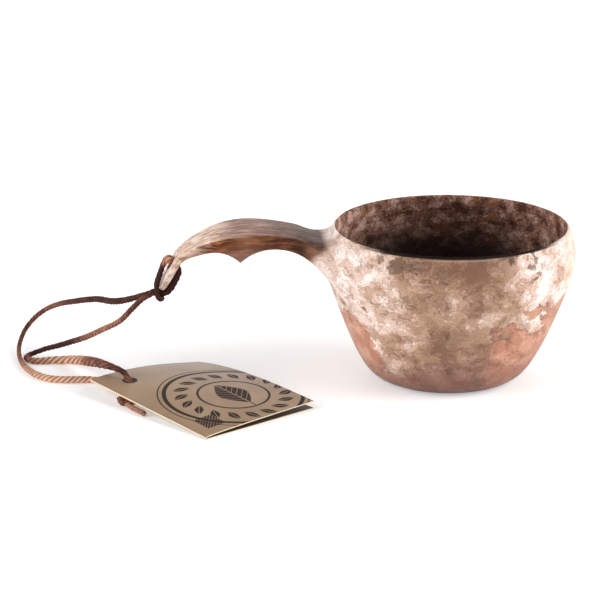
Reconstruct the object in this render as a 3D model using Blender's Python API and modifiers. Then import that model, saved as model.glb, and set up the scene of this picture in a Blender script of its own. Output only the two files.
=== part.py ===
"""Kuksa: a wooden drinking cup with a finger-grooved handle, a twine loop and a folded hang tag.

Metres, +Z up. The origin is the centre of the flat base, and the handle points along -X.
"""
import math

import bmesh
import bpy
from mathutils import Matrix, Vector

MM = 0.001

# ---- cup: driving dimensions -------------------------------------------------------------
SEGMENTS = 24                 # cage segments round the bowl
RIM_HEIGHT = 65.4 * MM
BOWL_RADIUS = 52.5 * MM       # widest, a little below the rim
BASE_RADIUS = 27.0 * MM       # flat foot
LEAN = 1.3 * MM               # the hand-shaped mouth sits this far off the foot's axis
CUP_DETAIL = 1                # subdivision level of the cup's cage
HOLE_RADIUS = 3.3 * MM        # cord hole through the handle's tongue

# Cage rings of the bowl as (radius, height) in units of BOWL_RADIUS and RIM_HEIGHT.
OUTER_RINGS = [(0.19, 0.0), (0.36, 0.0), (BASE_RADIUS / BOWL_RADIUS, 0.0), (0.62, 0.036),
               (0.715, 0.15), (0.81, 0.31), (0.893, 0.48), (0.962, 0.635), (1.003, 0.77),
               (0.999, 0.87), (0.966, 0.94)]
RIM_RINGS = [(0.942, 1.0), (0.915, 1.0)]
INNER_RINGS = [(0.914, 0.945), (0.938, 0.86), (0.945, 0.745), (0.895, 0.57), (0.81, 0.39),
               (0.695, 0.23), (0.52, 0.11), (0.26, 0.066)]
INNER_FLOOR = 0.06            # height of the inside at the axis, same unit
BASE_EDGE_RING = 2            # ring whose edge stays fairly sharp
ROOT_RINGS = (7, 10)          # lowest and highest outer ring of the handle's root
ROOT_COLUMNS = 3              # cage columns that the root is wide

# ---- handle ------------------------------------------------------------------------------
# The tongue is the straight, sloping end of the handle. Places on it are (along, out) from
# the cord hole's centre: along runs down to the tip, out is away from its upper face.
HOLE_CENTRE = Vector((-114.8, 0.0, 51.2)) * MM
TONGUE_SLOPE = math.radians(62.0)
TONGUE_CROWN = 0.3 * MM
ALONG = Vector((-math.cos(TONGUE_SLOPE), 0.0, -math.sin(TONGUE_SLOPE)))
OUT = Vector((-math.sin(TONGUE_SLOPE), 0.0, math.cos(TONGUE_SLOPE)))

# Handle sections from the bowl outwards, in mm: distance from the axis and height of the
# upper face, the same of the underside, and the half widths of both.
ARM_SECTIONS = [
    (54.5, 60.9, 52.3, 46.2, 15.0, 11.0),
    (59.5, 63.0, 59.0, 53.5, 13.0, 9.0),
    (66.0, 64.6, 66.2, 57.5, 12.8, 8.6),
    (73.5, 65.9, 73.6, 58.7, 13.2, 8.8),
    (80.5, 66.6, 80.2, 57.6, 13.8, 8.8),
    (85.2, 66.6, 84.8, 54.6, 14.0, 7.0),
    (87.8, 66.4, 87.5, 51.9, 14.0, 5.5),
    (90.4, 66.1, 90.3, 54.6, 13.9, 7.0),
    (95.2, 65.2, 94.7, 57.2, 13.2, 8.4),
    (101.0, 63.4, 99.6, 57.7, 11.6, 8.2),
    (107.2, 60.5, 104.8, 56.2, 9.2, 7.0),
]
SPUR_SECTION = 6              # the ridge between the two finger grooves
# Tongue sections in mm: place along it, half width, half thickness.
TONGUE_SECTIONS = [(-4.5, 7.4, 1.5), (1.0, 6.8, 1.4), (6.0, 6.4, 1.3), (9.6, 5.2, 1.1),
                   (11.9, 3.2, 0.9)]
CROWN = 0.7 * MM              # the upper face is slightly domed
EDGE_CREASE = 0.55
SPUR_CREASE = 0.75

# ---- cord --------------------------------------------------------------------------------
CORD_RADIUS = 1.35 * MM
CORD_SPACING = 6.0 * MM       # between points along a free strand
HITCH_SPACING = 2.4 * MM      # tighter bends need closer points
HITCH_RADIUS = 0.95 * MM      # the twine is pulled tight in the hitch
CURVE_STEPS = 24              # points between two listed ones before thinning
TURN_PER_POINT = math.radians(17.0)
# One half of the lark's head, from a strand's start back to the middle of the bight, as
# (along, out, sideways) in mm on the tongue.
HITCH_HALF = [
    (15.2, 2.6, 1.5), (14.0, 1.2, 1.45), (13.3, -0.5, 1.4), (12.1, -2.0, 1.35),
    (9.8, -2.6, 1.3), (7.0, -2.75, 1.3), (4.4, -2.8, 1.4), (2.0, -2.6, 1.5),
    (0.6, -1.5, 1.5), (0.3, 0.2, 1.5), (0.5, 1.7, 1.45), (1.8, 2.75, 1.4),
    (4.4, 2.9, 1.4), (7.5, 2.75, 1.6), (10.0, 2.45, 2.4), (12.0, 2.0, 3.4),
    (13.8, 1.2, 3.85), (15.2, -0.1, 3.3), (15.7, -1.4, 1.9), (15.5, -2.1, 0.0),
]
# Each free strand's route from the handle to the end knot, in mm.
STRAND_A = [
    (-125.4, 1.6, 38.4), (-128.6, 2.1, 37.2), (-134.0, 6.8, 34.2), (-140.2, 16.4, 30.6),
    (-147.0, 30.4, 27.5), (-155.4, 44.8, 22.5), (-162.4, 55.4, 18.2), (-168.2, 61.6, 14.2),
    (-173.4, 62.8, 10.1), (-177.6, 58.2, 6.5), (-180.0, 50.6, 3.6), (-180.8, 41.0, 1.9),
    (-180.0, 29.0, 1.45), (-177.6, 18.0, 1.45), (-173.6, 8.6, 1.45), (-168.2, 2.6, 1.45),
    (-161.8, 0.3, 1.45), (-155.4, 0.0, 1.45), (-149.6, -0.8, 1.45), (-144.6, -3.9, 1.45),
    (-141.0, -9.0, 1.45), (-139.0, -15.2, 1.45), (-138.2, -21.4, 1.45), (-138.1, -27.1, 1.55),
]
STRAND_B = [
    (-125.4, -1.6, 38.4), (-128.6, -1.5, 36.6), (-132.7, 1.2, 31.8), (-138.0, 7.0, 24.6),
    (-145.2, 13.6, 19.0), (-152.0, 20.3, 13.8), (-159.0, 27.6, 9.2), (-166.0, 33.2, 5.5),
    (-172.2, 36.6, 2.9), (-175.9, 36.2, 1.8), (-177.0, 32.8, 1.5), (-175.2, 28.8, 1.5),
    (-170.6, 27.2, 1.5), (-165.4, 26.8, 1.8), (-159.6, 24.0, 3.1), (-155.0, 16.8, 5.4),
    (-150.8, 7.4, 7.6), (-147.2, -1.9, 9.3), (-142.9, -9.2, 9.9), (-139.8, -12.6, 9.8),
    (-138.3, -14.0, 9.45), (-137.0, -15.2, 8.85), (-135.75, -16.4, 7.5), (-134.7, -17.4, 4.9),
    (-134.0, -18.7, 2.8), (-133.8, -20.5, 1.75), (-133.9, -22.4, 1.42), (-134.9, -26.9, 1.5),
]
KNOT_CENTRE = Vector((-136.5, -30.6, 1.75)) * MM
KNOT_SIZE = Vector((8.4, 6.8, 3.3)) * MM
KNOT_TAILS = [
    [(-136.6, -33.0, 1.5), (-134.6, -37.4, 1.4), (-132.2, -41.4, 1.4), (-129.9, -45.4, 1.4)],
    [(-134.6, -30.6, 1.5), (-132.4, -30.2, 1.4), (-130.0, -29.6, 1.4)],
]

SWING_PIVOT = Vector((-126.0, 0.0, 38.4)) * MM     # the strands swing about the hitch

# ---- hang tag ----------------------------------------------------------------------------
TAG_LENGTH = 75.0 * MM        # along the fold
TAG_WIDTH = 57.0 * MM         # away from the fold
CARD = 0.45 * MM              # thickness of one leaf
TAG_CORNER = Vector((-150.6, -14.9, 0.0)) * MM
TAG_TURN = math.radians(-53.5)        # direction of the fold
CORNER_LIFT = 5.6 * MM        # the corner at the cord is raised by the cord under it
LIFT_FADE = 1.3               # how fast the lift fades away from the fold
LEAF_GAP = 0.35 * MM          # between the leaves at the fold
LEAF_OPENING = (0.6 * MM, 2.2 * MM)   # between the leaves at the open edge's two corners
COVER_ARCH = 1.8 * MM         # the cover bulges between the fold and its open edge
COVER_BOW = 2.4 * MM          # and along its open edge
TAG_HOLE = (11.5 * MM, 11.3 * MM)
TAG_HOLE_RADIUS = 3.3 * MM
TAG_GRID = (18, 12)           # cells along and across a leaf


def mm(point):
    """A point given in millimetres as a vector in metres."""
    return Vector(point) * MM


def clear_scene():
    for old in list(bpy.data.objects):
        bpy.data.objects.remove(old, do_unlink=True)


def new_collection(name):
    collection = bpy.data.collections.new(name)
    bpy.context.scene.collection.children.link(collection)
    return collection


def material(name, colour, roughness):
    made = bpy.data.materials.new(name)
    made.use_nodes = True
    shader = made.node_tree.nodes["Principled BSDF"]
    shader.inputs["Base Color"].default_value = (*colour, 1.0)
    shader.inputs["Roughness"].default_value = roughness
    shader.inputs["Metallic"].default_value = 0.0
    return made


def add_object(name, data, collection, surface=None):
    made = bpy.data.objects.new(name, data)
    collection.objects.link(made)
    if surface:
        data.materials.append(surface)
    return made


def pivot(name, place, turn, collection, holder=None):
    """An empty on a joint's axis, its local +Z along the axis."""
    empty = bpy.data.objects.new(name, None)
    empty.empty_display_size = 10 * MM
    collection.objects.link(empty)
    empty.matrix_world = Matrix.Translation(place) @ turn
    if holder:
        attach(empty, holder)
    return empty


def attach(child, holder):
    """Parent an object without moving it."""
    bpy.context.view_layer.update()
    child.parent = holder
    child.matrix_parent_inverse = holder.matrix_world.inverted()


def mesh_from(mesh_builder, name):
    mesh = bpy.data.meshes.new(name)
    mesh_builder.to_mesh(mesh)
    mesh_builder.free()
    mesh.shade_smooth()
    return mesh


# ---- cup ---------------------------------------------------------------------------------
def bowl_ring(builder, radius, height):
    """One cage ring, slightly wide so that the subdivided ring has the stated radius."""
    widened = radius * BOWL_RADIUS / (1.0 - (1.0 - math.cos(2 * math.pi / SEGMENTS)) / 3.0)
    ring = []
    for index in range(SEGMENTS):
        angle = 2 * math.pi * (index + 0.5) / SEGMENTS
        shift = LEAN * height
        place = (widened * math.cos(angle) + shift, widened * math.sin(angle), height * RIM_HEIGHT)
        ring.append(builder.verts.new(place))
    return ring


def join_rings(builder, lower, upper, skipped=()):
    """Quads between two rings, facing outwards when upper lies above lower on the outside."""
    count = len(lower)
    for index in range(count):
        if index in skipped:
            continue
        after = (index + 1) % count
        builder.faces.new((lower[index], lower[after], upper[after], upper[index]))


def close_ring(builder, ring, height, facing_up):
    """A fan from a ring to a point on the axis."""
    centre = builder.verts.new((0.0, 0.0, height))
    for index in range(len(ring)):
        pair = (ring[index], ring[(index + 1) % len(ring)])
        corner_order = pair if facing_up else pair[::-1]
        builder.faces.new((*corner_order, centre))


def root_columns():
    """Indices of the cage columns that open into the handle, centred on -X."""
    first = SEGMENTS // 2 - (ROOT_COLUMNS + 1) // 2
    return list(range(first, first + ROOT_COLUMNS))


def root_loop(rings):
    """The loop of vertices round the root's opening, from +Y along the top, then down."""
    columns = root_columns() + [root_columns()[-1] + 1]
    low, high = ROOT_RINGS
    top = [rings[high][column] for column in columns]
    far_side = [rings[level][columns[-1]] for level in range(high - 1, low, -1)]
    bottom = [rings[low][column] for column in reversed(columns)]
    near_side = [rings[level][columns[0]] for level in range(low + 1, high)]
    return top + far_side + bottom + near_side


def section_loop(builder, top, bottom, half_top, half_bottom, crown_height=CROWN):
    """One handle section as a loop that matches root_loop; top and bottom lie at y = 0."""
    side = Vector((0.0, 1.0, 0.0))
    crown = (top - bottom).normalized() * crown_height
    places = []
    for share, lift in ((1.0, 0.0), (0.34, 1.0), (-0.34, 1.0), (-1.0, 0.0)):
        places.append(top + side * half_top * share + crown * lift)
    upper_side = (top.lerp(bottom, 0.30), half_top * 0.99)
    lower_side = (top.lerp(bottom, 0.72), half_top * 0.35 + half_bottom * 0.6)
    for centre, half in (upper_side, lower_side):
        places.append(centre - side * half)
    for share in (-1.0, -0.34, 0.34, 1.0):
        places.append(bottom + side * half_bottom * share)
    for centre, half in (lower_side, upper_side):
        places.append(centre + side * half)
    return [builder.verts.new(place) for place in places]


def tongue_place(along, out, sideways):
    """A point on or near the tongue, given in millimetres."""
    return HOLE_CENTRE + (ALONG * along + OUT * out + Vector((0.0, 1.0, 0.0)) * sideways) * MM


def handle_loops(builder):
    loops = []
    for top_reach, top_height, low_reach, low_height, half_top, half_low in ARM_SECTIONS:
        top = mm((-top_reach, 0.0, top_height))
        bottom = mm((-low_reach, 0.0, low_height))
        loops.append(section_loop(builder, top, bottom, half_top * MM, half_low * MM))
    for along, half_width, half_thickness in TONGUE_SECTIONS:
        top = tongue_place(along, half_thickness, 0.0)
        bottom = tongue_place(along, -half_thickness, 0.0)
        half_top = half_width * MM
        loops.append(section_loop(builder, top, bottom, half_top, half_top * 0.86, TONGUE_CROWN))
    return loops


def close_tip(builder, loop):
    """A patch of three by three quads over the last section."""
    top, far_side, bottom, near_side = loop[0:4], loop[4:6], loop[6:10], loop[10:12]
    rows = [top]
    for level in range(2):
        left = near_side[1 - level]
        right = far_side[level]
        inner = [builder.verts.new(left.co.lerp(right.co, share)) for share in (0.33, 0.67)]
        rows.append([left, *inner, right])
    rows.append(bottom[::-1])
    for upper, lower in zip(rows, rows[1:]):
        for index in range(3):
            builder.faces.new((upper[index], upper[index + 1], lower[index + 1], lower[index]))


def crease_edges(builder, pairs, amount):
    layer = builder.edges.layers.float.get("crease_edge")
    if layer is None:
        layer = builder.edges.layers.float.new("crease_edge")
    for first, second in pairs:
        edge = builder.edges.get((first, second))
        edge[layer] = amount


def cup_cage():
    """The coarse cage of bowl and handle as one closed surface."""
    builder = bmesh.new()
    outer = [bowl_ring(builder, radius, height) for radius, height in OUTER_RINGS]
    lip = [bowl_ring(builder, radius, height) for radius, height in RIM_RINGS]
    inner = [bowl_ring(builder, radius, height) for radius, height in INNER_RINGS]
    low, high = ROOT_RINGS
    for level in range(len(outer) - 1):
        skipped = root_columns() if low <= level < high else ()
        join_rings(builder, outer[level], outer[level + 1], skipped)
    wall = [outer[-1], *lip, *inner]
    for lower, upper in zip(wall, wall[1:]):
        join_rings(builder, lower, upper)
    close_ring(builder, outer[0], 0.0, facing_up=False)
    close_ring(builder, inner[-1], INNER_FLOOR * RIM_HEIGHT, facing_up=True)

    loops = [root_loop(outer), *handle_loops(builder)]
    for near, far in zip(loops, loops[1:]):
        join_rings(builder, near, far)
    close_tip(builder, loops[-1])

    base_edge = outer[BASE_EDGE_RING]
    crease_edges(builder, zip(base_edge, base_edge[1:] + base_edge[:1]), 0.5)
    for near, far in zip(loops[2:], loops[3:]):
        crease_edges(builder, ((near[0], far[0]), (near[3], far[3])), EDGE_CREASE)
    spur = loops[1 + SPUR_SECTION]
    crease_edges(builder, zip(spur[5:11], spur[6:11] + spur[11:12]), SPUR_CREASE)
    bmesh.ops.recalc_face_normals(builder, faces=builder.faces)
    return mesh_from(builder, "cup")


def cord_hole_cutter(collection):
    bpy.ops.mesh.primitive_cylinder_add(vertices=24, radius=HOLE_RADIUS, depth=16 * MM)
    cutter = bpy.context.object
    cutter.name = "cord_hole_cutter"
    turn = OUT.to_track_quat("Z", "Y").to_matrix().to_4x4()
    cutter.matrix_world = Matrix.Translation(HOLE_CENTRE) @ turn
    return as_cutter(cutter, collection)


def as_cutter(cutter, collection):
    for home in list(cutter.users_collection):
        home.objects.unlink(cutter)
    collection.objects.link(cutter)
    cutter.hide_render = True
    cutter.display_type = "WIRE"
    return cutter


def subtract(target, cutter):
    cut = target.modifiers.new("cut_" + cutter.name, "BOOLEAN")
    cut.operation = "DIFFERENCE"
    cut.solver = "EXACT"
    cut.object = cutter


def make_cup(parts, cutters):
    wood = material("birch_burl", (0.52, 0.33, 0.24), 0.45)
    cup = add_object("cup", cup_cage(), parts, wood)
    smooth = cup.modifiers.new("smooth", "SUBSURF")
    smooth.levels = CUP_DETAIL
    smooth.render_levels = CUP_DETAIL
    subtract(cup, cord_hole_cutter(cutters))
    return cup


# ---- cord --------------------------------------------------------------------------------
def catmull_rom(points):
    """Close-set points on a Catmull-Rom curve through the given points."""
    ends = [points[0] * 2 - points[1], *points, points[-1] * 2 - points[-2]]
    dense = []
    for p0, p1, p2, p3 in zip(ends, ends[1:], ends[2:], ends[3:]):
        for step in range(CURVE_STEPS):
            t = step / CURVE_STEPS
            dense.append(0.5 * (2 * p1 + (p2 - p0) * t + (2 * p0 - 5 * p1 + 4 * p2 - p3) * t ** 2
                                + (3 * p1 - p0 - 3 * p2 + p3) * t ** 3))
    dense.append(points[-1])
    return dense


def smooth_route(points, spacing):
    """The curve's points, thinned to the given spacing or one for each bit of turning."""
    dense = catmull_rom(points)
    route, travelled, turned = [dense[0]], 0.0, 0.0
    for before, place, after in zip(dense, dense[1:], dense[2:]):
        travelled += (place - before).length
        turned += (place - before).angle(after - place)
        if travelled > spacing or turned > TURN_PER_POINT:
            route.append(place)
            travelled, turned = 0.0, 0.0
    if (route[-1] - dense[-1]).length < spacing / 4:
        route.pop()
    route.append(dense[-1])
    return route


def tube(name, route, radius, collection, surface):
    """A round cord along a route, as a bevelled curve with closed ends."""
    curve = bpy.data.curves.new(name, "CURVE")
    curve.dimensions = "3D"
    curve.bevel_depth = radius
    curve.bevel_resolution = 2
    curve.use_fill_caps = True
    curve.render_resolution_u = 0
    spline = curve.splines.new("POLY")
    spline.points.add(len(route) - 1)
    for point, place in zip(spline.points, route):
        point.co = (*place, 1.0)
    return add_object(name, curve, collection, surface)


def curve_to_mesh(source, collection):
    """Replace a curve object by a welded mesh object of the same name and shape."""
    bpy.context.view_layer.update()
    graph = bpy.context.evaluated_depsgraph_get()
    mesh = bpy.data.meshes.new_from_object(source.evaluated_get(graph))
    builder = bmesh.new()
    builder.from_mesh(mesh)
    bmesh.ops.remove_doubles(builder, verts=builder.verts, dist=0.01 * MM)
    builder.to_mesh(mesh)
    builder.free()
    name, matrix = source.name, source.matrix_world.copy()
    bpy.data.objects.remove(source, do_unlink=True)
    made = bpy.data.objects.new(name, mesh)
    collection.objects.link(made)
    made.matrix_world = matrix
    return made


def hitch_route():
    """The whole lark's head: down one half, round the bight and back up the other half."""
    half = [tongue_place(*place) for place in HITCH_HALF]
    mirrored = [Vector((place.x, -place.y, place.z)) for place in reversed(half[:-1])]
    return smooth_route(half + mirrored, HITCH_SPACING)


def make_knot(parts, cutters, twine):
    """The end knot as a flattened lump with two short tails joined to it."""
    bpy.ops.mesh.primitive_uv_sphere_add(segments=20, ring_count=12, radius=0.5)
    knot = bpy.context.object
    for home in list(knot.users_collection):
        home.objects.unlink(knot)
    parts.objects.link(knot)
    knot.name = "cord_knot"
    knot.data.name = "cord_knot"
    knot.data.transform(Matrix.Diagonal((*KNOT_SIZE, 1.0)))
    knot.data.shade_smooth()
    knot.data.materials.append(twine)
    knot.location = KNOT_CENTRE
    for number, points in enumerate(KNOT_TAILS):
        route = smooth_route([mm(point) for point in points], CORD_SPACING / 2)
        tail_tube = tube(f"knot_tail_{number}", route, CORD_RADIUS, cutters, twine)
        tail = curve_to_mesh(tail_tube, cutters)
        as_cutter(tail, cutters)
        union = knot.modifiers.new("tail", "BOOLEAN")
        union.operation = "UNION"
        union.solver = "EXACT"
        union.object = tail
    return knot


def make_cord(parts, cutters):
    twine = material("paper_twine", (0.36, 0.20, 0.14), 0.75)
    tube("cord_hitch", hitch_route(), HITCH_RADIUS, parts, twine)
    for name, points in (("cord_strand_a", STRAND_A), ("cord_strand_b", STRAND_B)):
        route = smooth_route([mm(point) for point in points], CORD_SPACING)
        tube(name, route, CORD_RADIUS, parts, twine)
    make_knot(parts, cutters, twine)


# ---- hang tag ----------------------------------------------------------------------------
def leaf_height(along, across):
    """Height of the back leaf's middle surface over the table."""
    lift = CORNER_LIFT * (1.0 - along / TAG_LENGTH) * (1.0 - across / TAG_WIDTH) ** LIFT_FADE
    return CARD / 2 + lift


def cover_rise(along, across):
    """How far the cover leaf stands above the back leaf."""
    down = along / TAG_LENGTH
    share = across / TAG_WIDTH
    corner, far_corner = LEAF_OPENING
    opening = corner * (1.0 - down) * (1.0 - (1.0 - share) ** 2) + far_corner * down * share ** 1.8
    arch = COVER_ARCH * math.sin(math.pi * share) * (1.0 - down) ** 0.8
    bow = COVER_BOW * share * math.sin(math.pi * down ** 0.8)
    return CARD + LEAF_GAP + opening + arch + bow


def tag_place(along, across, height):
    turn = Matrix.Rotation(TAG_TURN, 4, "Z")
    flat = TAG_CORNER + turn @ Vector((along, across, 0.0))
    return Vector((flat.x, flat.y, height))


def tag_hole_cutter(collection):
    bpy.ops.mesh.primitive_cylinder_add(vertices=24, radius=TAG_HOLE_RADIUS, depth=40 * MM)
    cutter = bpy.context.object
    cutter.name = "tag_hole_cutter"
    cutter.location = tag_place(*TAG_HOLE, 0.0)
    return as_cutter(cutter, collection)


def make_leaf(name, is_cover, parts, cutter, card):
    """One leaf of the tag: a curved sheet with the cord's hole through it."""
    builder = bmesh.new()
    bmesh.ops.create_grid(builder, x_segments=TAG_GRID[0], y_segments=TAG_GRID[1], size=0.5)
    for vert in builder.verts:
        along = (vert.co.x + 0.5) * TAG_LENGTH
        across = (vert.co.y + 0.5) * TAG_WIDTH
        height = leaf_height(along, across) + (cover_rise(along, across) if is_cover else 0.0)
        vert.co = tag_place(along, across, height)
    leaf = add_object(name, mesh_from(builder, name), parts, card)
    shell = leaf.modifiers.new("card", "SOLIDIFY")
    shell.thickness = CARD
    shell.offset = 0.0
    subtract(leaf, cutter)
    return leaf


def make_tag(parts, cutters):
    card = material("kraft_card", (0.50, 0.36, 0.24), 0.7)
    cutter = tag_hole_cutter(cutters)
    make_leaf("tag_back_leaf", False, parts, cutter, card)
    make_leaf("tag_cover_leaf", True, parts, cutter, card)


# ---- joints ------------------------------------------------------------------------------
def fold_place(along):
    """A point on the fold, midway between the two leaves."""
    height = leaf_height(along, 0.0) + cover_rise(along, 0.0) / 2
    return tag_place(along, 0.0, height)


def hang_on_joints(parts):
    """Parent each moving piece to an empty on its joint's axis."""
    piece = bpy.data.objects
    swing = pivot("lanyard_swing", SWING_PIVOT, Matrix(), parts)
    for name in ("cord_strand_a", "cord_strand_b", "cord_knot"):
        attach(piece[name], swing)
    hole = tag_place(*TAG_HOLE, leaf_height(*TAG_HOLE) + cover_rise(*TAG_HOLE) / 2)
    swivel = pivot("tag_swivel", hole, Matrix(), parts, swing)
    attach(piece["tag_back_leaf"], swivel)
    fold_line = fold_place(TAG_LENGTH) - fold_place(0.0)
    turn = fold_line.to_track_quat("Z", "Y").to_matrix().to_4x4()
    fold = pivot("tag_cover_fold", fold_place(0.0), turn, parts, swivel)
    attach(piece["tag_cover_leaf"], fold)


def main():
    clear_scene()
    parts = new_collection("kuksa_cup")
    cutters = new_collection("cutters")
    make_cup(parts, cutters)
    make_cord(parts, cutters)
    make_tag(parts, cutters)
    hang_on_joints(parts)


main()
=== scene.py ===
"""Looks of the kuksa cup: camera, twine, mottled wood, printed card tag, floor and light.

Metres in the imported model's frame: +Z up, origin under the bowl, the handle along -X.
"""

import math

import bmesh
import bpy
import numpy as np
from mathutils import Matrix, Vector, noise


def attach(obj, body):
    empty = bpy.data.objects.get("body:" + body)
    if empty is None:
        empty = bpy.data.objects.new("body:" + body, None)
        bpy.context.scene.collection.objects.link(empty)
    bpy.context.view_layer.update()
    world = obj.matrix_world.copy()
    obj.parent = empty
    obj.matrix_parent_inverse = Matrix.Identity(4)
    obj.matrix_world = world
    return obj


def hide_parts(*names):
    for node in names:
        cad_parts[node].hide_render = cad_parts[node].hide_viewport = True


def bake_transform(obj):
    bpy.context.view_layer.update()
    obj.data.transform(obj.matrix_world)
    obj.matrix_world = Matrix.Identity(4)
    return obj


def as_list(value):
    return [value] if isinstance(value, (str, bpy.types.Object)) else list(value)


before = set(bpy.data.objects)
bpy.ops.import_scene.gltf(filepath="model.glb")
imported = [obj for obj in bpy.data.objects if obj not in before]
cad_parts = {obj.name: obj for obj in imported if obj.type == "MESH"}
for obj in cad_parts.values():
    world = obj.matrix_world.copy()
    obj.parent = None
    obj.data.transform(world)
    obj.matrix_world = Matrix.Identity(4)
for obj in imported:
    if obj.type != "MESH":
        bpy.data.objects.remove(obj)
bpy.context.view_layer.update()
MM = 0.001
UP = Vector((0, 0, 1))
SIDE = Vector((0, 1, 0))

# ---- handle's tongue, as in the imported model
HOLE_CENTRE = Vector((-114.8, 0, 51.2)) * MM
TONGUE_SLOPE = math.radians(62)
ALONG = Vector((-math.cos(TONGUE_SLOPE), 0, -math.sin(TONGUE_SLOPE)))
OUT = Vector((-math.sin(TONGUE_SLOPE), 0, math.cos(TONGUE_SLOPE)))

# ---- cord routes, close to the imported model's
# One half of the lark's head, as (along, out, sideways) in mm on the tongue.
HITCH_HALF = [
    (15.2, 2.6, 1.5), (14, 1, 1.45), (13.3, -0.9, 1.45), (12.1, -2.5, 1.5),
    (9.8, -3.05, 1.5), (7, -3.15, 1.5), (4.4, -3.05, 1.5), (2, -2.7, 1.5),
    (0.6, -1.5, 1.5), (0, 0.3, 1.5), (-0.9, 2.1, 1.5), (-0.6, 3.7, 1.5),
    (2, 4.1, 1.45), (4.8, 3.7, 1.5), (7.5, 3.3, 1.7), (10, 2.8, 2.4), (12, 2.2, 3.4),
    (13.8, 1.2, 3.85), (15.2, -0.1, 3.3), (15.7, -1.4, 1.9), (15.5, -2.1, 0),
]
# Each strand in mm, from inside the hitch's end to the knot.
STRAND_A = [
    (-123.6, 1.5, 39.4), (-125.4, 1.6, 38.4), (-128.6, 2.1, 37.2), (-134, 6.8, 34.2),
    (-140.2, 16.4, 30.6), (-147, 30.4, 27.5), (-155.4, 44.8, 22.5), (-162.4, 55.4, 18.2),
    (-168.2, 61.6, 14.2), (-173.4, 62.8, 10.1), (-177.6, 58.2, 6.5), (-180, 50.6, 3.6),
    (-180.8, 41, 1.9), (-180, 29, 1.45), (-177.6, 18, 1.45), (-173.6, 8.6, 1.45),
    (-168.2, 2.6, 1.45), (-161.8, 0.3, 1.45), (-155.4, 0, 1.45), (-149.6, -0.8, 1.45),
    (-144.6, -3.9, 1.45), (-141, -9, 1.45), (-139, -15.2, 1.45), (-138.2, -21.4, 1.45),
    (-138.1, -27.1, 1.55),
]
STRAND_B = [
    (-123.6, -1.5, 39.4), (-125.4, -1.6, 38.4), (-128.6, -1.5, 36.6), (-132.7, 1.2, 31.8),
    (-138, 7, 24.6), (-145.2, 13.6, 19), (-152, 20.3, 13.8), (-159, 27.9, 9.2),
    (-165.4, 33.5, 5.7), (-169.6, 36.2, 3.8), (-173.6, 36.9, 2.2), (-176.6, 34.9, 1.6),
    (-177.5, 31.6, 1.5), (-176.1, 28.4, 1.5), (-173, 26.7, 1.5), (-169.4, 26.6, 1.5),
    (-165, 26.6, 1.6), (-159.6, 24, 2.6), (-155, 16.8, 4.6), (-150.8, 7.4, 7.1),
    (-147.2, -1.9, 9.3), (-142.9, -9.2, 10.2), (-139.8, -12.6, 10.1), (-138.3, -14, 9.8),
    (-136.9, -15.3, 9.1), (-135.7, -16.4, 7.6), (-134.8, -17.3, 5.2), (-134.1, -18.6, 3.2),
    (-133.8, -20.6, 1.85), (-133.9, -22.9, 1.45), (-134.9, -26.9, 1.5),
]
# Radius in mm and paleness along the hitch, from a strand to the middle of the bight.
HITCH_RADII = [(0, 1.05), (0.12, 1.3), (0.2, 1.65), (0.34, 1.7), (0.42, 1.35), (0.5, 1.45),
               (0.6, 1.05), (0.85, 1), (1, 1.25)]
# The paleness paints shade on the cord where it runs under the tongue, darkest there (shares 0.12 to 0.4).
HITCH_PALES_AND_SHADE = [(0, 0.25), (0.12, -1.1), (0.4, -1.1), (0.45, 0.3), (0.52, 0.9), (0.58, 0.6),
               (0.64, -0.3), (0.8, -0.4), (0.9, 0.2), (1, 0.25)]
KNOT_CENTRE = Vector((-136.5, -30.6, 1.75)) * MM
KNOT_TURNS, KNOT_STEPS = 2.5, 25
KNOT_REACH, KNOT_RISE = 2.6, 0.62
KNOT_RADIUS = 1.05
KNOT_TAILS = [
    [(-136.6, -33, 1.5), (-134.6, -37.4, 1.4), (-132.2, -41.4, 1.4), (-129.9, -45.4, 1.4)],
    [(-134.6, -30.6, 1.5), (-132.4, -30.2, 1.4), (-130, -29.6, 1.4)],
]
SECTION_STEP = 0.35 * MM
REST_GAP = 0.05 * MM          # between the lying twine and the table
ROPE_SIDES = 28
PLIES = 4
PLY_RADIUS = 0.55             # of one ply, where the rope's radius is 1
FIRST_TURN = 0.4
FUZZ = 0.09                   # unevenness of the twine's surface, where its radius is 1
FUZZ_SIZE = 2.2 * MM
ROPE_MARKS = ("crest", "around", "reach", "pale")    # what each vertex of a rope carries
# Length in mm in which the plies go once round: of tight twine, and along strand B, which has
# partly untwisted.
TIGHT_TWIST = [(0, 9), (1, 9)]
TWIST_B = [(0, 8.5), (0.55, 9), (0.64, 17), (0.84, 17), (0.92, 9), (1, 9)]
# Radius of the twine in mm along each strand: (share of its length, radius).
RADIUS_A = [(0, 1.05), (0.04, 1.3), (0.1, 1.5), (0.3, 1.3), (0.5, 1), (0.6, 1.05), (0.7, 1.5),
            (0.8, 1.6), (0.88, 1.45), (0.93, 1.25), (1, 1.25)]
RADIUS_B = [(0, 1.05), (0.04, 1.25), (0.3, 1.3), (0.45, 1.15), (0.54, 1.5), (0.62, 1.9),
            (0.72, 2.25), (0.81, 2), (0.88, 1.3), (0.94, 1.2), (1, 1.3)]
# How pale the twine is along each strand: (share of its length, 0 dark to 1 pale).
PALE_A = [(0, 0.3), (0.06, 0.05), (0.3, 0.12), (0.36, 0.45), (0.42, 0.45), (0.5, 0.3), (0.6, 0.5),
          (0.68, 0.9), (0.78, 1.15), (1, 1)]
PALE_B = [(0, 0.3), (0.08, 0.3), (0.14, 0.7), (0.26, 0.65), (0.33, 0.1), (0.46, -0.05), (0.52, 0.6),
          (0.58, 1.1), (0.68, 1.05), (0.74, 0.5), (0.85, 0.35), (0.9, 0.2), (0.93, 0.6), (1, 0.3)]


# ---- small helpers
def mm(point):
    return Vector(point) * MM


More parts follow.
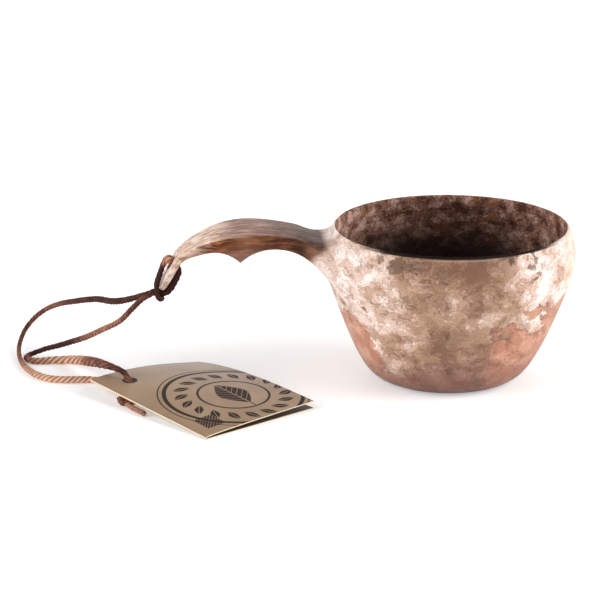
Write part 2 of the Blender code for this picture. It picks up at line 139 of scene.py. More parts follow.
def link(name, data, surfaces=()):
    made = bpy.data.objects.new(name, data)
    bpy.context.scene.collection.objects.link(made)
    for surface in surfaces:
        data.materials.append(surface)
    return made


def finished(builder, name):
    """The builder's geometry as a mesh; the builder is let go."""
    mesh = bpy.data.meshes.new(name)
    builder.to_mesh(mesh)
    builder.free()
    return mesh


def join_rings(builder, lower, upper, skipped=()):
    count = len(lower)
    for index in range(count):
        if index in skipped:
            continue
        after = (index + 1) % count
        builder.faces.new((lower[index], lower[after], upper[after], upper[index]))


def closed_tube(builder, rings):
    for lower, upper in zip(rings, rings[1:]):
        join_rings(builder, lower, upper)
    builder.faces.new(rings[0][::-1])
    builder.faces.new(rings[-1])


def profile(table, share):
    return float(np.interp(share, [row[0] for row in table], [row[1] for row in table]))


def smoothstep(low, high, value):
    t = np.clip((value - low) / (high - low), 0, 1)
    return t * t * (3 - 2 * t)


def point_attribute(mesh, name, values):
    made = mesh.attributes.new(name, "FLOAT", "POINT")
    made.data.foreach_set("value", np.asarray(values, np.float32))


# ---- node helpers
class Nodes:
    """A node tree with short calls for the nodes used here."""

    def __init__(self, tree):
        self.tree = tree

    def node(self, kind, inputs=None, **settings):
        made = self.tree.nodes.new(kind)
        for key, value in settings.items():
            setattr(made, key, value)
        for key, value in (inputs or {}).items():
            self.feed(made.inputs[key], value)
        return made

    def output(self, kind, inputs=None, **settings):
        return self.node(kind, inputs, **settings).outputs[0]

    def feed(self, socket, value):
        if isinstance(value, bpy.types.NodeSocket):
            self.tree.links.new(value, socket)
        else:
            socket.default_value = value

    def math(self, operation, first, second=0):
        return self.output("ShaderNodeMath", {0: first, 1: second}, operation=operation)

    def add(self, first, second):
        return self.math("ADD", first, second)

    def minus(self, first, second):
        return self.math("SUBTRACT", first, second)

    def times(self, first, second):
        return self.math("MULTIPLY", first, second)

    def larger(self, first, second):
        return self.math("MAXIMUM", first, second)

    def size(self, value):
        return self.math("ABSOLUTE", value)

    def fraction(self, value):
        return self.math("FRACT", value)

    def varied(self, start, *parts):
        """The start, plus each part's distance from one half times its share."""
        for value, share in parts:
            start = self.add(start, self.times(self.minus(value, 0.5), share))
        return start

    def vector(self, operation, *values):
        return self.output("ShaderNodeVectorMath", dict(enumerate(values)), operation=operation)

    def split(self, vector):
        return self.node("ShaderNodeSeparateXYZ", {0: vector}).outputs

    def normal_height(self):
        """How far the surface's normal points up."""
        return self.split(self.node("ShaderNodeNewGeometry").outputs["Normal"])[2]

    def spread(self, value, low, high, start=0, end=1, smooth=True):
        """Map low..high to start..end, clamped."""
        kind = "SMOOTHSTEP" if smooth else "LINEAR"
        inputs = {0: value, 1: low, 2: high, 3: start, 4: end}
        return self.output("ShaderNodeMapRange", inputs, interpolation_type=kind)

    def mix(self, factor, first, second):
        made = self.node("ShaderNodeMix", data_type="RGBA")
        self.feed(made.inputs[0], factor)
        for index, colour in ((6, first), (7, second)):
            if isinstance(colour, tuple):
                colour = (*colour, 1)
            self.feed(made.inputs[index], colour)
        return made.outputs[2]

    def ramp(self, factor, stops):
        """A colour ramp through the stops: place, red, green, blue."""
        made = self.node("ShaderNodeValToRGB", {0: factor})
        elements = made.color_ramp.elements
        while len(elements) < len(stops):
            elements.new(0.5)
        for element, (place, *colour) in zip(elements, stops):
            element.position = place
            element.color = (*colour, 1)
        return made.outputs[0]

    def attribute(self, name):
        return self.node("ShaderNodeAttribute", attribute_name=name).outputs["Fac"]

    def place(self, stretch=(1, 1, 1)):
        """Object coordinates in millimetres, stretched per axis."""
        source = self.node("ShaderNodeTexCoord").outputs["Object"]
        return self.vector("MULTIPLY", source, tuple(1000 * s for s in stretch))

    def noise(self, place, size, detail=3, rough=0.5):
        """Noise with features about size millimetres across."""
        inputs = {"Vector": place, "Scale": 1 / size, "Detail": detail, "Roughness": rough}
        return self.output("ShaderNodeTexNoise", inputs)

    def noise_vector(self, place, size, amount):
        """The place moved about by noise, by up to amount millimetres."""
        inputs = {"Vector": place, "Scale": 1 / size, "Detail": 3}
        wobble = self.node("ShaderNodeTexNoise", inputs).outputs["Color"]
        centred = self.vector("SUBTRACT", wobble, (0.5, 0.5, 0.5))
        return self.vector("MULTIPLY_ADD", centred, (amount,) * 3, place)

    def bump(self, height, distance, strength=1, below=None):
        inputs = {"Height": height, "Distance": distance, "Strength": strength}
        if below is not None:
            inputs["Normal"] = below
        return self.output("ShaderNodeBump", inputs)


class Surface(Nodes):
    """The node tree of a new material."""

    def __init__(self, name):
        self.material = bpy.data.materials.new(name)
        self.material.use_nodes = True
        super().__init__(self.material.node_tree)
        self.surface = self.tree.nodes["Principled BSDF"]

    def finish(self, colour, roughness, normal, specular):
        self.feed(self.surface.inputs["Base Color"], colour)
        self.feed(self.surface.inputs["Roughness"], roughness)
        self.feed(self.surface.inputs["Specular IOR Level"], specular)
        if normal is not None:
            self.feed(self.surface.inputs["Normal"], normal)
        return self.material


def band(nodes, value, centre, half, soft=0.12):
    """1 where the value is within half of the centre."""
    off = nodes.size(nodes.minus(value, centre))
    return nodes.spread(off, half + soft, half - soft)


# ---- camera
CAMERA_PLACE = (-0.1676, -1.2042, 0.4034)
CAMERA_TURN = math.radians(-5)
CAMERA_PITCH = 0.2965
CAMERA_LENS = 180.6


def make_camera():
    data = bpy.data.cameras.new("camera")
    data.lens = CAMERA_LENS
    data.clip_start = 0.05
    data.clip_end = 20
    camera = link("camera", data)
    camera.location = CAMERA_PLACE
    camera.rotation_euler = (math.pi / 2 - CAMERA_PITCH, 0, CAMERA_TURN)
    bpy.context.scene.camera = camera


# ---- twine
def tongue_place(along, out, sideways):
    return HOLE_CENTRE + (ALONG * along + OUT * out + SIDE * sideways) * MM


def catmull_rom(points, steps=24):
    """Close-set points on a Catmull-Rom curve through the given points."""
    ends = [points[0] * 2 - points[1], *points, points[-1] * 2 - points[-2]]
    dense = []
    for p0, p1, p2, p3 in zip(ends, ends[1:], ends[2:], ends[3:]):
        for step in range(steps):
            t = step / steps
            dense.append(0.5 * (2 * p1 + (p2 - p0) * t + (2 * p0 - 5 * p1 + 4 * p2 - p3) * t ** 2
                                + (3 * p1 - p0 - 3 * p2 + p3) * t ** 3))
    dense.append(points[-1])
    return dense


def even_route(points, spacing):
    """Points evenly spaced along the curve through the given points."""
    dense = np.array([tuple(point) for point in catmull_rom(points)])
    lengths = np.linalg.norm(np.diff(dense, axis=0), axis=1)
    travelled = np.concatenate(([0], np.cumsum(lengths)))
    count = max(3, int(round(travelled[-1] / spacing)) + 1)
    wanted = np.linspace(0, travelled[-1], count)
    columns = [np.interp(wanted, travelled, dense[:, axis]) for axis in range(3)]
    return [Vector(row) for row in zip(*columns)]


def carried_frames(route):
    """At each point of the route its direction and a side direction that doesn't spin."""
    frames = []
    side = None
    for index, place in enumerate(route):
        ahead = route[min(index + 1, len(route) - 1)] - route[max(index - 1, 0)]
        ahead.normalize()
        if side is None:
            side = ahead.cross(UP if abs(ahead.z) < 0.9 else SIDE).normalized()
        side = (side - ahead * side.dot(ahead)).normalized()
        frames.append((place, side, ahead.cross(side)))
    return frames


def ply_outline(angle):
    """Distance from the axis to the outside of the bundle of plies, 1 at a ply's crest."""
    sector = 2 * math.pi / PLIES
    offset = (angle + sector / 2) % sector - sector / 2
    centre = 1 - PLY_RADIUS
    return centre * math.cos(offset) + math.sqrt(PLY_RADIUS ** 2 - (centre * math.sin(offset)) ** 2)


def rope_sections(builder, route, radii, twist, layers):
    """The rings of a twisted rope, each vertex marked with its depth between the plies."""
    rings = []
    travelled, turn = 0, FIRST_TURN
    for index, (place, side, other) in enumerate(carried_frames(route)):
        if index:
            step = (route[index] - route[index - 1]).length
            travelled += step
            turn -= 2 * math.pi * step / (profile(twist, index / (len(route) - 1)) * MM)
        ring = []
        for corner in range(ROPE_SIDES):
            angle = 2 * math.pi * corner / ROPE_SIDES
            outline = ply_outline(angle - turn)
            wander = Vector((math.cos(angle), math.sin(angle), travelled / FUZZ_SIZE))
            rough = FUZZ * noise.noise(wander)
            distance = radii[index] * (outline + rough)
            vert = builder.verts.new(place + (side * math.cos(angle) + other * math.sin(angle)) * distance)
            vert[layers["crest"]] = outline
            vert[layers["around"]] = (angle - turn) / (2 * math.pi)
            vert[layers["reach"]] = travelled / MM
            ring.append(vert)
        rings.append(ring)
    return rings


def rope(name, route, radii, pales, surface, twist=TIGHT_TWIST):
    """A twisted rope as one closed mesh."""
    builder = bmesh.new()
    layers = {key: builder.verts.layers.float.new(key) for key in ROPE_MARKS}
    rings = rope_sections(builder, route, radii, twist, layers)
    for ring, pale in zip(rings, pales):
        for vert in ring:
            vert[layers["pale"]] = pale
    closed_tube(builder, rings)
    bmesh.ops.recalc_face_normals(builder, faces=builder.faces)
    mesh = finished(builder, name)
    mesh.shade_smooth()
    made = link(name, mesh, [surface])
    return made


def twine_material():
    nodes = Surface("paper_twine")
    crest, around, reach, pale = (nodes.attribute(name) for name in ROPE_MARKS)
    strip = nodes.output("ShaderNodeCombineXYZ", {0: nodes.times(around, 26),
                                                  1: nodes.times(reach, 0.16)})
    fibres = nodes.noise(strip, 0.8, detail=4, rough=0.65)
    patches = nodes.noise(nodes.place(), 3.5, detail=3)
    lightness = nodes.varied(nodes.times(pale, 0.85), (patches, 0.6), (fibres, 0.7))
    base = nodes.ramp(lightness, [
        (0, 0.04, 0.012, 0.008), (0.3, 0.14, 0.048, 0.032), (0.6, 0.42, 0.19, 0.125),
        (1, 0.8, 0.47, 0.32)])
    # Painted shade: the grooves between the plies are darkened.
    groove_shade = nodes.spread(crest, 0.8, 0.97, 0.85, 0)
    colour = nodes.mix(groove_shade, base, (0.045, 0.013, 0.009))
    return nodes.finish(colour, 0.6, nodes.bump(fibres, 0.00015, 0.8), 0.12)


def strand(name, points, radius_table, pale_table, surface, twist):
    """One free strand: it rests on the table wherever its route lies low."""
    route = even_route([mm(point) for point in points], SECTION_STEP)
    shares = [index / (len(route) - 1) for index in range(len(route))]
    radii = [profile(radius_table, share) * MM for share in shares]
    for place, radius in zip(route, radii):
        place.z = max(place.z, radius + REST_GAP)
    pales = [profile(pale_table, share) for share in shares]
    return rope(name, route, radii, pales, surface, twist), route


def make_hitch(surface):
    """The lark's head through the handle's hole."""
    half = [tongue_place(*place) for place in HITCH_HALF]
    mirrored = [Vector((place.x, -place.y, place.z)) for place in reversed(half[:-1])]
    route = even_route(half + mirrored, SECTION_STEP)
    shares = [1 - abs(2 * index / (len(route) - 1) - 1) for index in range(len(route))]
    radii = [profile(HITCH_RADII, share) * MM for share in shares]
    pales = [profile(HITCH_PALES_AND_SHADE, share) for share in shares]
    hitch = rope("twine_hitch", route, radii, pales, surface)
    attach(hitch, "cup")
    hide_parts("cord_hitch")


def knot_route():
    """Flat turns round the strands, sliding to one side."""
    places = []
    for step in range(KNOT_STEPS + 1):
        turn = 2 * math.pi * KNOT_TURNS * step / KNOT_STEPS
        slide = KNOT_REACH * (2 * step / KNOT_STEPS - 1)
        across = KNOT_REACH * math.cos(turn) - 0.3 * slide
        places.append(KNOT_CENTRE + mm((across, slide, KNOT_RISE * math.sin(turn))))
    return places


def make_knot(surface):
    """The end knot: wraps of twine and two short cut ends."""
    route = even_route(knot_route(), SECTION_STEP)
    wraps = rope("knot_wraps", route, [KNOT_RADIUS * MM] * len(route), [0.45] * len(route), surface)
    pieces = [wraps]
    for number, points in enumerate(KNOT_TAILS):
        tail_route = even_route([mm(point) for point in points], SECTION_STEP)
        shares = np.linspace(0, 1, len(tail_route))
        radii = [(KNOT_RADIUS + 0.2 * share) * MM for share in shares]
        tail = rope(f"knot_tail_{number}", tail_route, radii, [0.75] * len(tail_route), surface)
        pieces.append(tail)
    for piece in pieces:
        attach(piece, "lanyard")
    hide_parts("cord_knot")
    return pieces


def make_cord(surface):
    make_hitch(surface)
    knot = make_knot(surface)
    tables = (("a", STRAND_A, RADIUS_A, PALE_A, TIGHT_TWIST, knot),
              ("b", STRAND_B, RADIUS_B, PALE_B, TWIST_B, [knot[0]]))
    for letter, points, radii, pales, twist, company in tables:
        made, route = strand("twine_strand_" + letter, points, radii, pales, surface, twist)
        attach(made, "lanyard")
        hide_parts("cord_strand_" + letter)
        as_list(company)


# ---- cup
SEGMENTS = 24
RIM_HEIGHT = 65.4 * MM
BOWL_RADIUS = 52.5 * MM
BASE_RADIUS = 27 * MM
LEAN = 1.3 * MM
CUP_DETAIL = 4
OUTER_RINGS = [(0.19, 0), (0.36, 0), (BASE_RADIUS / BOWL_RADIUS, 0), (0.62, 0.036),
               (0.715, 0.15), (0.81, 0.31), (0.893, 0.48), (0.962, 0.635), (1.003, 0.77),
               (0.999, 0.87), (0.966, 0.94)]
RIM_RINGS = [(0.942, 1), (0.915, 1)]
INNER_RINGS = [(0.914, 0.945), (0.938, 0.86), (0.945, 0.745), (0.895, 0.57), (0.81, 0.39),
               (0.695, 0.23), (0.52, 0.11), (0.26, 0.066)]
INNER_FLOOR = 0.06
BASE_EDGE_RING = 2
ROOT_RINGS = (7, 10)
ROOT_COLUMNS = 3
TONGUE_CROWN = 0.3 * MM
# Handle sections in mm: reach and height of the upper face, the same of the underside, and
# the half widths of both.
ARM_SECTIONS = [
    (54.5, 60.9, 52.3, 46.2, 15, 11),
    (59.5, 63, 59, 53.5, 13, 9),
    (66, 64.6, 66.2, 57.5, 12.8, 8.6),
    (73.5, 65.9, 73.6, 58.7, 13.2, 8.8),
    (80.5, 66.6, 80.2, 57.6, 13.8, 8.8),
    (85.2, 66.6, 84.8, 54.6, 14, 7),
    (87.8, 66.4, 87.5, 51.9, 14, 5.5),
    (90.4, 66.1, 90.3, 54.6, 13.9, 7),
    (95.2, 65.2, 94.7, 57.2, 13.2, 8.4),
    (101, 63.4, 99.6, 57.7, 11.6, 8.2),
    (107.2, 60.5, 104.8, 56.2, 9.2, 7),
]
SPUR_SECTION = 6
# Tongue sections in mm: place along it, half width, half thickness.
TONGUE_SECTIONS = [(-4.5, 7.4, 1.5), (1, 6.8, 1.4), (6, 6.4, 1.3), (9.6, 5.2, 1.1),
                   (11.9, 3.2, 0.9)]
CROWN = 0.7 * MM
# Half the cord hole's outline in mm: distance from the tongue's middle, radius.
HOLE_HALF = [(0.8, 3.3), (1.35, 3.55), (1.9, 4.1), (4, 5.2)]
HOLE_SIDES = 48
# Relief of the wood in mm.
FLAKE_WIDTH, FLAKE_HEIGHT, FLAKE_DEPTH = 7, 4.5, 0.05
LUMP_WIDTH, LUMP_DEPTH = 13, 0.1
BASE_CREASE = 0.5
EDGE_CREASE = 0.55
SPUR_CREASE = 0.75


def bowl_ring(builder, radius, height):
    widened = radius * BOWL_RADIUS / (1 - (1 - math.cos(2 * math.pi / SEGMENTS)) / 3)
    ring = []
    for index in range(SEGMENTS):
        angle = 2 * math.pi * (index + 0.5) / SEGMENTS
        shift = LEAN * height
        place = (widened * math.cos(angle) + shift, widened * math.sin(angle), height * RIM_HEIGHT)
        ring.append(builder.verts.new(place))
    return ring


def close_ring(builder, ring, height, facing_up):
    centre = builder.verts.new((0, 0, height))
    for index in range(len(ring)):
        pair = (ring[index], ring[(index + 1) % len(ring)])
        corner_order = pair if facing_up else pair[::-1]
        builder.faces.new((*corner_order, centre))


def root_columns():
    first = SEGMENTS // 2 - (ROOT_COLUMNS + 1) // 2
    return list(range(first, first + ROOT_COLUMNS))


def root_loop(rings):
    columns = root_columns() + [root_columns()[-1] + 1]
    low, high = ROOT_RINGS
    top = [rings[high][column] for column in columns]
    far_side = [rings[level][columns[-1]] for level in range(high - 1, low, -1)]
    bottom = [rings[low][column] for column in reversed(columns)]
    near_side = [rings[level][columns[0]] for level in range(low + 1, high)]
    return top + far_side + bottom + near_side


def section_loop(builder, top, bottom, half_top, half_bottom, crown_height=CROWN):
    crown = (top - bottom).normalized() * crown_height
    places = []
    for share, lift in ((1, 0), (0.34, 1), (-0.34, 1), (-1, 0)):
        places.append(top + SIDE * half_top * share + crown * lift)
    upper_side = (top.lerp(bottom, 0.3), half_top * 0.99)
    lower_side = (top.lerp(bottom, 0.72), half_top * 0.35 + half_bottom * 0.6)
    for centre, half in (upper_side, lower_side):
        places.append(centre - SIDE * half)
    for share in (-1, -0.34, 0.34, 1):
        places.append(bottom + SIDE * half_bottom * share)
    for centre, half in (lower_side, upper_side):
        places.append(centre + SIDE * half)
    return [builder.verts.new(place) for place in places]


def handle_loops(builder):
    loops = []
    for top_reach, top_height, low_reach, low_height, half_top, half_low in ARM_SECTIONS:
        top = mm((-top_reach, 0, top_height))
        bottom = mm((-low_reach, 0, low_height))
        loops.append(section_loop(builder, top, bottom, half_top * MM, half_low * MM))
    for along, half_width, half_thickness in TONGUE_SECTIONS:
        top = tongue_place(along, half_thickness, 0)
        bottom = tongue_place(along, -half_thickness, 0)
        half_top = half_width * MM
        loops.append(section_loop(builder, top, bottom, half_top, half_top * 0.86, TONGUE_CROWN))
    return loops


def close_tip(builder, loop):
    top, far_side, bottom, near_side = loop[0:4], loop[4:6], loop[6:10], loop[10:12]
    rows = [top]
    for level in range(2):
        left = near_side[1 - level]
        right = far_side[level]
        inner = [builder.verts.new(left.co.lerp(right.co, share)) for share in (0.33, 0.67)]
        rows.append([left, *inner, right])
    rows.append(bottom[::-1])
    for upper, lower in zip(rows, rows[1:]):
        for index in range(3):
            builder.faces.new((upper[index], upper[index + 1], lower[index + 1], lower[index]))


def crease_edges(builder, loops, base_edge):
    """Creases round the foot, along the handle's upper edges and across the spur."""
    layer = builder.edges.layers.float.new("crease_edge")
    spur = loops[1 + SPUR_SECTION]
    sides = [(near[corner], far[corner]) for near, far in zip(loops[2:], loops[3:]) for corner in (0, 3)]
    for pairs, amount in ((zip(base_edge, base_edge[1:] + base_edge[:1]), BASE_CREASE),
                          (sides, EDGE_CREASE), (zip(spur[5:11], spur[6:12]), SPUR_CREASE)):
        for pair in pairs:
            builder.edges.get(pair)[layer] = amount


def cup_cage():
    builder = bmesh.new()
    outer = [bowl_ring(builder, radius, height) for radius, height in OUTER_RINGS]
    lip = [bowl_ring(builder, radius, height) for radius, height in RIM_RINGS]
    inner = [bowl_ring(builder, radius, height) for radius, height in INNER_RINGS]
    low, high = ROOT_RINGS
    for level in range(len(outer) - 1):
        skipped = root_columns() if low <= level < high else ()
        join_rings(builder, outer[level], outer[level + 1], skipped)
    wall = [outer[-1], *lip, *inner]
    for lower, upper in zip(wall, wall[1:]):
        join_rings(builder, lower, upper)
    close_ring(builder, outer[0], 0, facing_up=False)
    close_ring(builder, inner[-1], INNER_FLOOR * RIM_HEIGHT, facing_up=True)
    loops = [root_loop(outer), *handle_loops(builder)]
    for near, far in zip(loops, loops[1:]):
        join_rings(builder, near, far)
    close_tip(builder, loops[-1])
    crease_edges(builder, loops, outer[BASE_EDGE_RING])
    bmesh.ops.recalc_face_normals(builder, faces=builder.faces)
    return finished(builder, "wood_cup")


def hole_cutter():
    """A cutter that flares at the tongue's two faces, so that the hole's edges come out round."""
    builder = bmesh.new()
    rings = []
    for height, radius in [(-height, radius) for height, radius in HOLE_HALF[::-1]] + HOLE_HALF:
        ring = []
        for index in range(HOLE_SIDES):
            angle = 2 * math.pi * index / HOLE_SIDES
            ring.append(builder.verts.new(mm((radius * math.cos(angle), radius * math.sin(angle), height))))
        rings.append(ring)
    closed_tube(builder, rings)
    cutter = link("hole_cutter", finished(builder, "hole_cutter"))
    turn = OUT.to_track_quat("Z", "Y").to_matrix().to_4x4()
    cutter.matrix_world = Matrix.Translation(HOLE_CENTRE) @ turn
    return cutter


def applied(source, name):
    """A new mesh with the source's modifiers applied."""
    bpy.context.view_layer.update()
    graph = bpy.context.evaluated_depsgraph_get()
    mesh = bpy.data.meshes.new_from_object(source.evaluated_get(graph))
    mesh.name = name
    return mesh


def inside_and_rim_shade(places, normals):
    """1 on the bowl's inside up to the rim's crest, 0 on its outside and the handle; towards the front and
    back the inner colour also covers the rim's top as painted shade.
    """
    height = places[:, 2] / MM
    across = places[:, 0] - LEAN * places[:, 2] / RIM_HEIGHT
    radius = np.hypot(across, places[:, 1])
    outward = (normals[:, 0] * across + normals[:, 1] * places[:, 1]) / np.maximum(radius, MM)
    score = outward - 0.9 * normals[:, 2] * smoothstep(60, 50, height)
    off_centre = np.abs(across) / MM
    # Painted shade: the inner colour reaches further over the rim towards the front and back, and less far
    # at the sides.
    score += 0.45 * smoothstep(30, 47, off_centre) - 0.3 * smoothstep(40, 15, off_centre)
    inside = smoothstep(0.55, 0.3, score) * smoothstep(51.2, 50.6, radius / MM)
    # Painted shade: the rim's crest near the front and back takes the inner colour.
    crest = smoothstep(64.1, 64.6, height) * smoothstep(46, 30, off_centre)
    return np.maximum(inside, crest) * smoothstep(2, 3, height)


def flake_relief(mesh, inside):
    """Shallow flakes all over the wood, as offsets along the normals."""
    offsets = np.zeros(len(mesh.vertices))
    for vert in mesh.vertices:
        place = vert.co / MM
        stretched = Vector((place.x / FLAKE_WIDTH, place.y / FLAKE_WIDTH, place.z / FLAKE_HEIGHT))
        wobble = noise.noise_vector(stretched * 1.7) * 0.35
        near, second = noise.voronoi(stretched + wobble)[0][:2]
        edge = min(1, (second - near) * 6)
        lumps = noise.noise(place / LUMP_WIDTH)
        offsets[vert.index] = FLAKE_DEPTH * edge + LUMP_DEPTH * lumps
    return offsets * MM * (1 - 0.4 * inside)


def make_cup(surface):
    cage = link("cup_cage", cup_cage())
    smooth = cage.modifiers.new("smooth", "SUBSURF")
    smooth.levels = CUP_DETAIL
    smooth.render_levels = CUP_DETAIL
    cutter = hole_cutter()
    cut = cage.modifiers.new("hole", "BOOLEAN")
    cut.object = cutter
    cut.operation = "DIFFERENCE"
    mesh = applied(cage, "wood_cup")
    bpy.data.objects.remove(cage)
    bpy.data.objects.remove(cutter)
    mesh.shade_smooth()
    places = np.array([tuple(vert.co) for vert in mesh.vertices])
    normals = np.array([tuple(vert.normal) for vert in mesh.vertices])
    # The inside share also carries painted shade on the rim's top at the front and back.
    inside = inside_and_rim_shade(places, normals)
    heights = places[:, 2] / MM
    root_line = 50 + 6 * smoothstep(62, 53, heights)
    arm = smoothstep(0, 4.2, -places[:, 0] / MM - root_line) * smoothstep(45, 54, heights)
    offsets = flake_relief(mesh, inside) * (1 - 0.6 * arm) * smoothstep(0, 1.5, heights)
    moved = places + normals * offsets[:, None]
    mesh.vertices.foreach_set("co", moved.ravel())
    point_attribute(mesh, "inside", inside)
    point_attribute(mesh, "arm", arm)
    point_attribute(mesh, "facing_up", normals[:, 2])
    mesh.materials.clear()
    cup = link("wood_cup", mesh, [surface])
    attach(cup, "cup")
    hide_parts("cup")


def terraces(nodes, value, count):
    """The value in flat steps, and a thin mark along the steps' edges."""
    scaled = nodes.times(value, count)
    part = nodes.fraction(scaled)
    step = nodes.add(nodes.math("FLOOR", scaled), nodes.spread(part, 0.44, 0.56))
    return nodes.math("DIVIDE", step, count), band(nodes, part, 0.48, 0.02, 0.05)


def plate_line(nodes, x):
    """Height in mm of the plates' lower edge: low left of the middle, high at both sides."""
    line = nodes.spread(x, -22, -42, 13, 33)
    for start, end, rise in ((-12, 3, 9), (8, 14, 14)):
        line = nodes.add(line, nodes.spread(x, start, end, 0, rise))
    return line


def outer_wood(nodes, place, bent, fine):
    """The bowl's outside: pale ragged plates over a reddish ground, with painted light at the sides and
    painted shade in the middle and low down. Returns colour and relief.
    """
    x, _, height = nodes.split(nodes.place())
    off_centre = nodes.size(x)
    tone, tone_edge = terraces(nodes, nodes.noise(bent, 8, detail=6, rough=0.58), 9)
    patch, patch_edge = terraces(nodes, nodes.noise(bent, 15, detail=5, rough=0.54), 8)
    broad = nodes.noise(nodes.place(), 32, detail=1)

    cover = nodes.noise(bent, 19, detail=6, rough=0.62)
    above_line = nodes.minus(height, plate_line(nodes, x))
    cover = nodes.add(cover, nodes.spread(above_line, -16, 16, -0.22, 0.2, smooth=False))
    plate = nodes.spread(cover, 0.49, 0.505)
    plate_edge = band(nodes, cover, 0.487, 0.004, 0.008)

    # Painted light: lighter towards both sides, and painted shade, darker, in the middle.
    lightness = nodes.add(0.5, nodes.spread(off_centre, 8, 38, -0.17, 0.18))
    lightness = nodes.varied(lightness, (tone, 1.25), (patch, 0.75), (fine, 0.6), (broad, 0.3))
    # Painted highlight: a lighter band high on the right.
    upper_right_highlight = nodes.times(band(nodes, x, 27, 8, 9), nodes.spread(height, 30, 44, 0, 0.08))
    lightness = nodes.add(lightness, upper_right_highlight)
    # Painted shade: darker low down, and darker under the rim in the middle.
    low = nodes.spread(height, 40, 15, 0, 0.16)
    high = nodes.times(nodes.spread(height, 48, 60, 0, 0.29),
                       nodes.spread(nodes.size(nodes.add(x, 6)), 30, 14))
    lightness = nodes.minus(lightness, nodes.add(low, high))
    plates = nodes.ramp(lightness, [
        (0.05, 0.2, 0.095, 0.055), (0.28, 0.34, 0.195, 0.118), (0.45, 0.46, 0.285, 0.195),
        (0.62, 0.66, 0.475, 0.39), (0.85, 0.9, 0.77, 0.71)])

    red = nodes.spread(nodes.add(off_centre, nodes.times(x, 0.3)), 9, 24)
    ground_light = nodes.varied(0.5, (tone, 1.3), (fine, 0.6))
    brown_ground = nodes.ramp(ground_light, [
        (0.1, 0.11, 0.042, 0.026), (0.45, 0.25, 0.118, 0.078), (0.85, 0.46, 0.27, 0.2)])
    red_ground = nodes.ramp(ground_light, [
        (0.1, 0.2, 0.068, 0.04), (0.45, 0.47, 0.205, 0.125), (0.85, 0.7, 0.4, 0.28)])
    colour = nodes.mix(plate, nodes.mix(red, brown_ground, red_ground), plates)

    # Darker patches under the rim, towards the middle.
    under_rim = nodes.add(nodes.noise(bent, 11, detail=5, rough=0.6),
                          nodes.spread(height, 46, 62, -0.2, 0, smooth=False))
    dark_patch = nodes.times(nodes.spread(under_rim, 0.5, 0.52), nodes.spread(off_centre, 40, 28))
    dark_patch_colour = nodes.ramp(nodes.varied(ground_light, (broad, 0.8)), [
        (0.2, 0.1, 0.04, 0.022), (0.5, 0.17, 0.09, 0.05), (0.8, 0.3, 0.185, 0.125)])
    colour = nodes.mix(nodes.times(dark_patch, 0.92), colour, dark_patch_colour)

    gate = nodes.spread(nodes.noise(place, 6, detail=3), 0.46, 0.6)
    dark_line = nodes.times(nodes.larger(tone_edge, patch_edge), gate)
    some = nodes.spread(nodes.noise(place, 9, detail=2), 0.4, 0.55)
    dark_line = nodes.larger(dark_line, nodes.times(plate_edge, some))
    colour = nodes.mix(nodes.times(dark_line, 0.75), colour, (0.13, 0.045, 0.028))

    # Painted shade: darker towards the base.
    foot = nodes.spread(height, 22, -1, 0, 0.75)
    colour = nodes.mix(foot, colour, (0.13, 0.045, 0.03))
    # Painted highlight: a pale line along the lip at the front and back middle.
    lip = nodes.times(band(nodes, height, 63.8, 0.12, 0.18), nodes.spread(off_centre, 18, 6, 0, 0.5))
    colour = nodes.mix(lip, colour, (0.6, 0.47, 0.41))
    # Painted light: the far right of the bowl is lighter and more orange.
    far_right_light = nodes.spread(x, 40, 52, 0, 0.495)
    colour = nodes.mix(far_right_light, colour, (0.74, 0.47, 0.33))
    # Painted shade: a dark band where the bowl meets the floor.
    contact_shade = nodes.spread(height, 3.5, 0, 0, 0.6)
    colour = nodes.mix(contact_shade, colour, (0.05, 0.018, 0.012))
    relief = nodes.minus(nodes.times(plate, 0.6), dark_line)
    return colour, relief


def inner_wood(nodes, bent, fine):
    """The bowl's inside: the same flaky fibre, stained dark brown, with painted light on the side walls and
    painted shade deeper down and under the front crest.
    """
    tone, edge = terraces(nodes, nodes.noise(bent, 7, detail=6, rough=0.66), 10)
    x, y, height = nodes.split(nodes.place())
    off_centre = nodes.size(x)
    # Painted light: the side walls are lighter, the left wall most.
    lit_left_wall = nodes.spread(x, 10, -40, 0, 0.12)
    lit_side_walls = nodes.spread(off_centre, 26, 46, 0, 0.1)
    lightness = nodes.add(nodes.add(0.44, lit_side_walls), lit_left_wall)
    lightness = nodes.varied(lightness, (tone, 2.2), (fine, 1.1))
    colour = nodes.ramp(lightness, [
        (0.05, 0.03, 0.01, 0.006), (0.35, 0.11, 0.046, 0.03), (0.6, 0.27, 0.14, 0.1),
        (0.9, 0.55, 0.36, 0.29)])
    colour = nodes.mix(nodes.times(edge, 0.4), colour, (0.04, 0.014, 0.01))
    warm = nodes.spread(nodes.noise(bent, 10, detail=4), 0.6, 0.66, 0, 0.55)
    colour = nodes.mix(warm, colour, (0.26, 0.095, 0.03))
    # Painted shade: darker deeper down, fully dark from higher up in the middle than at the sides, and
    # darker under the crest at the front.
    middle = nodes.spread(off_centre, 46, 26)
    lowest = nodes.spread(middle, 0, 1, 18, 39)
    depth = nodes.spread(height, 62, lowest, 0, 0.97)
    front_crest_shade = nodes.times(nodes.spread(height, 60, 62.5, 0, 0.99), nodes.spread(y, -8, -26))
    depth = nodes.larger(depth, front_crest_shade)
    return nodes.mix(depth, colour, (0.01, 0.004, 0.003))


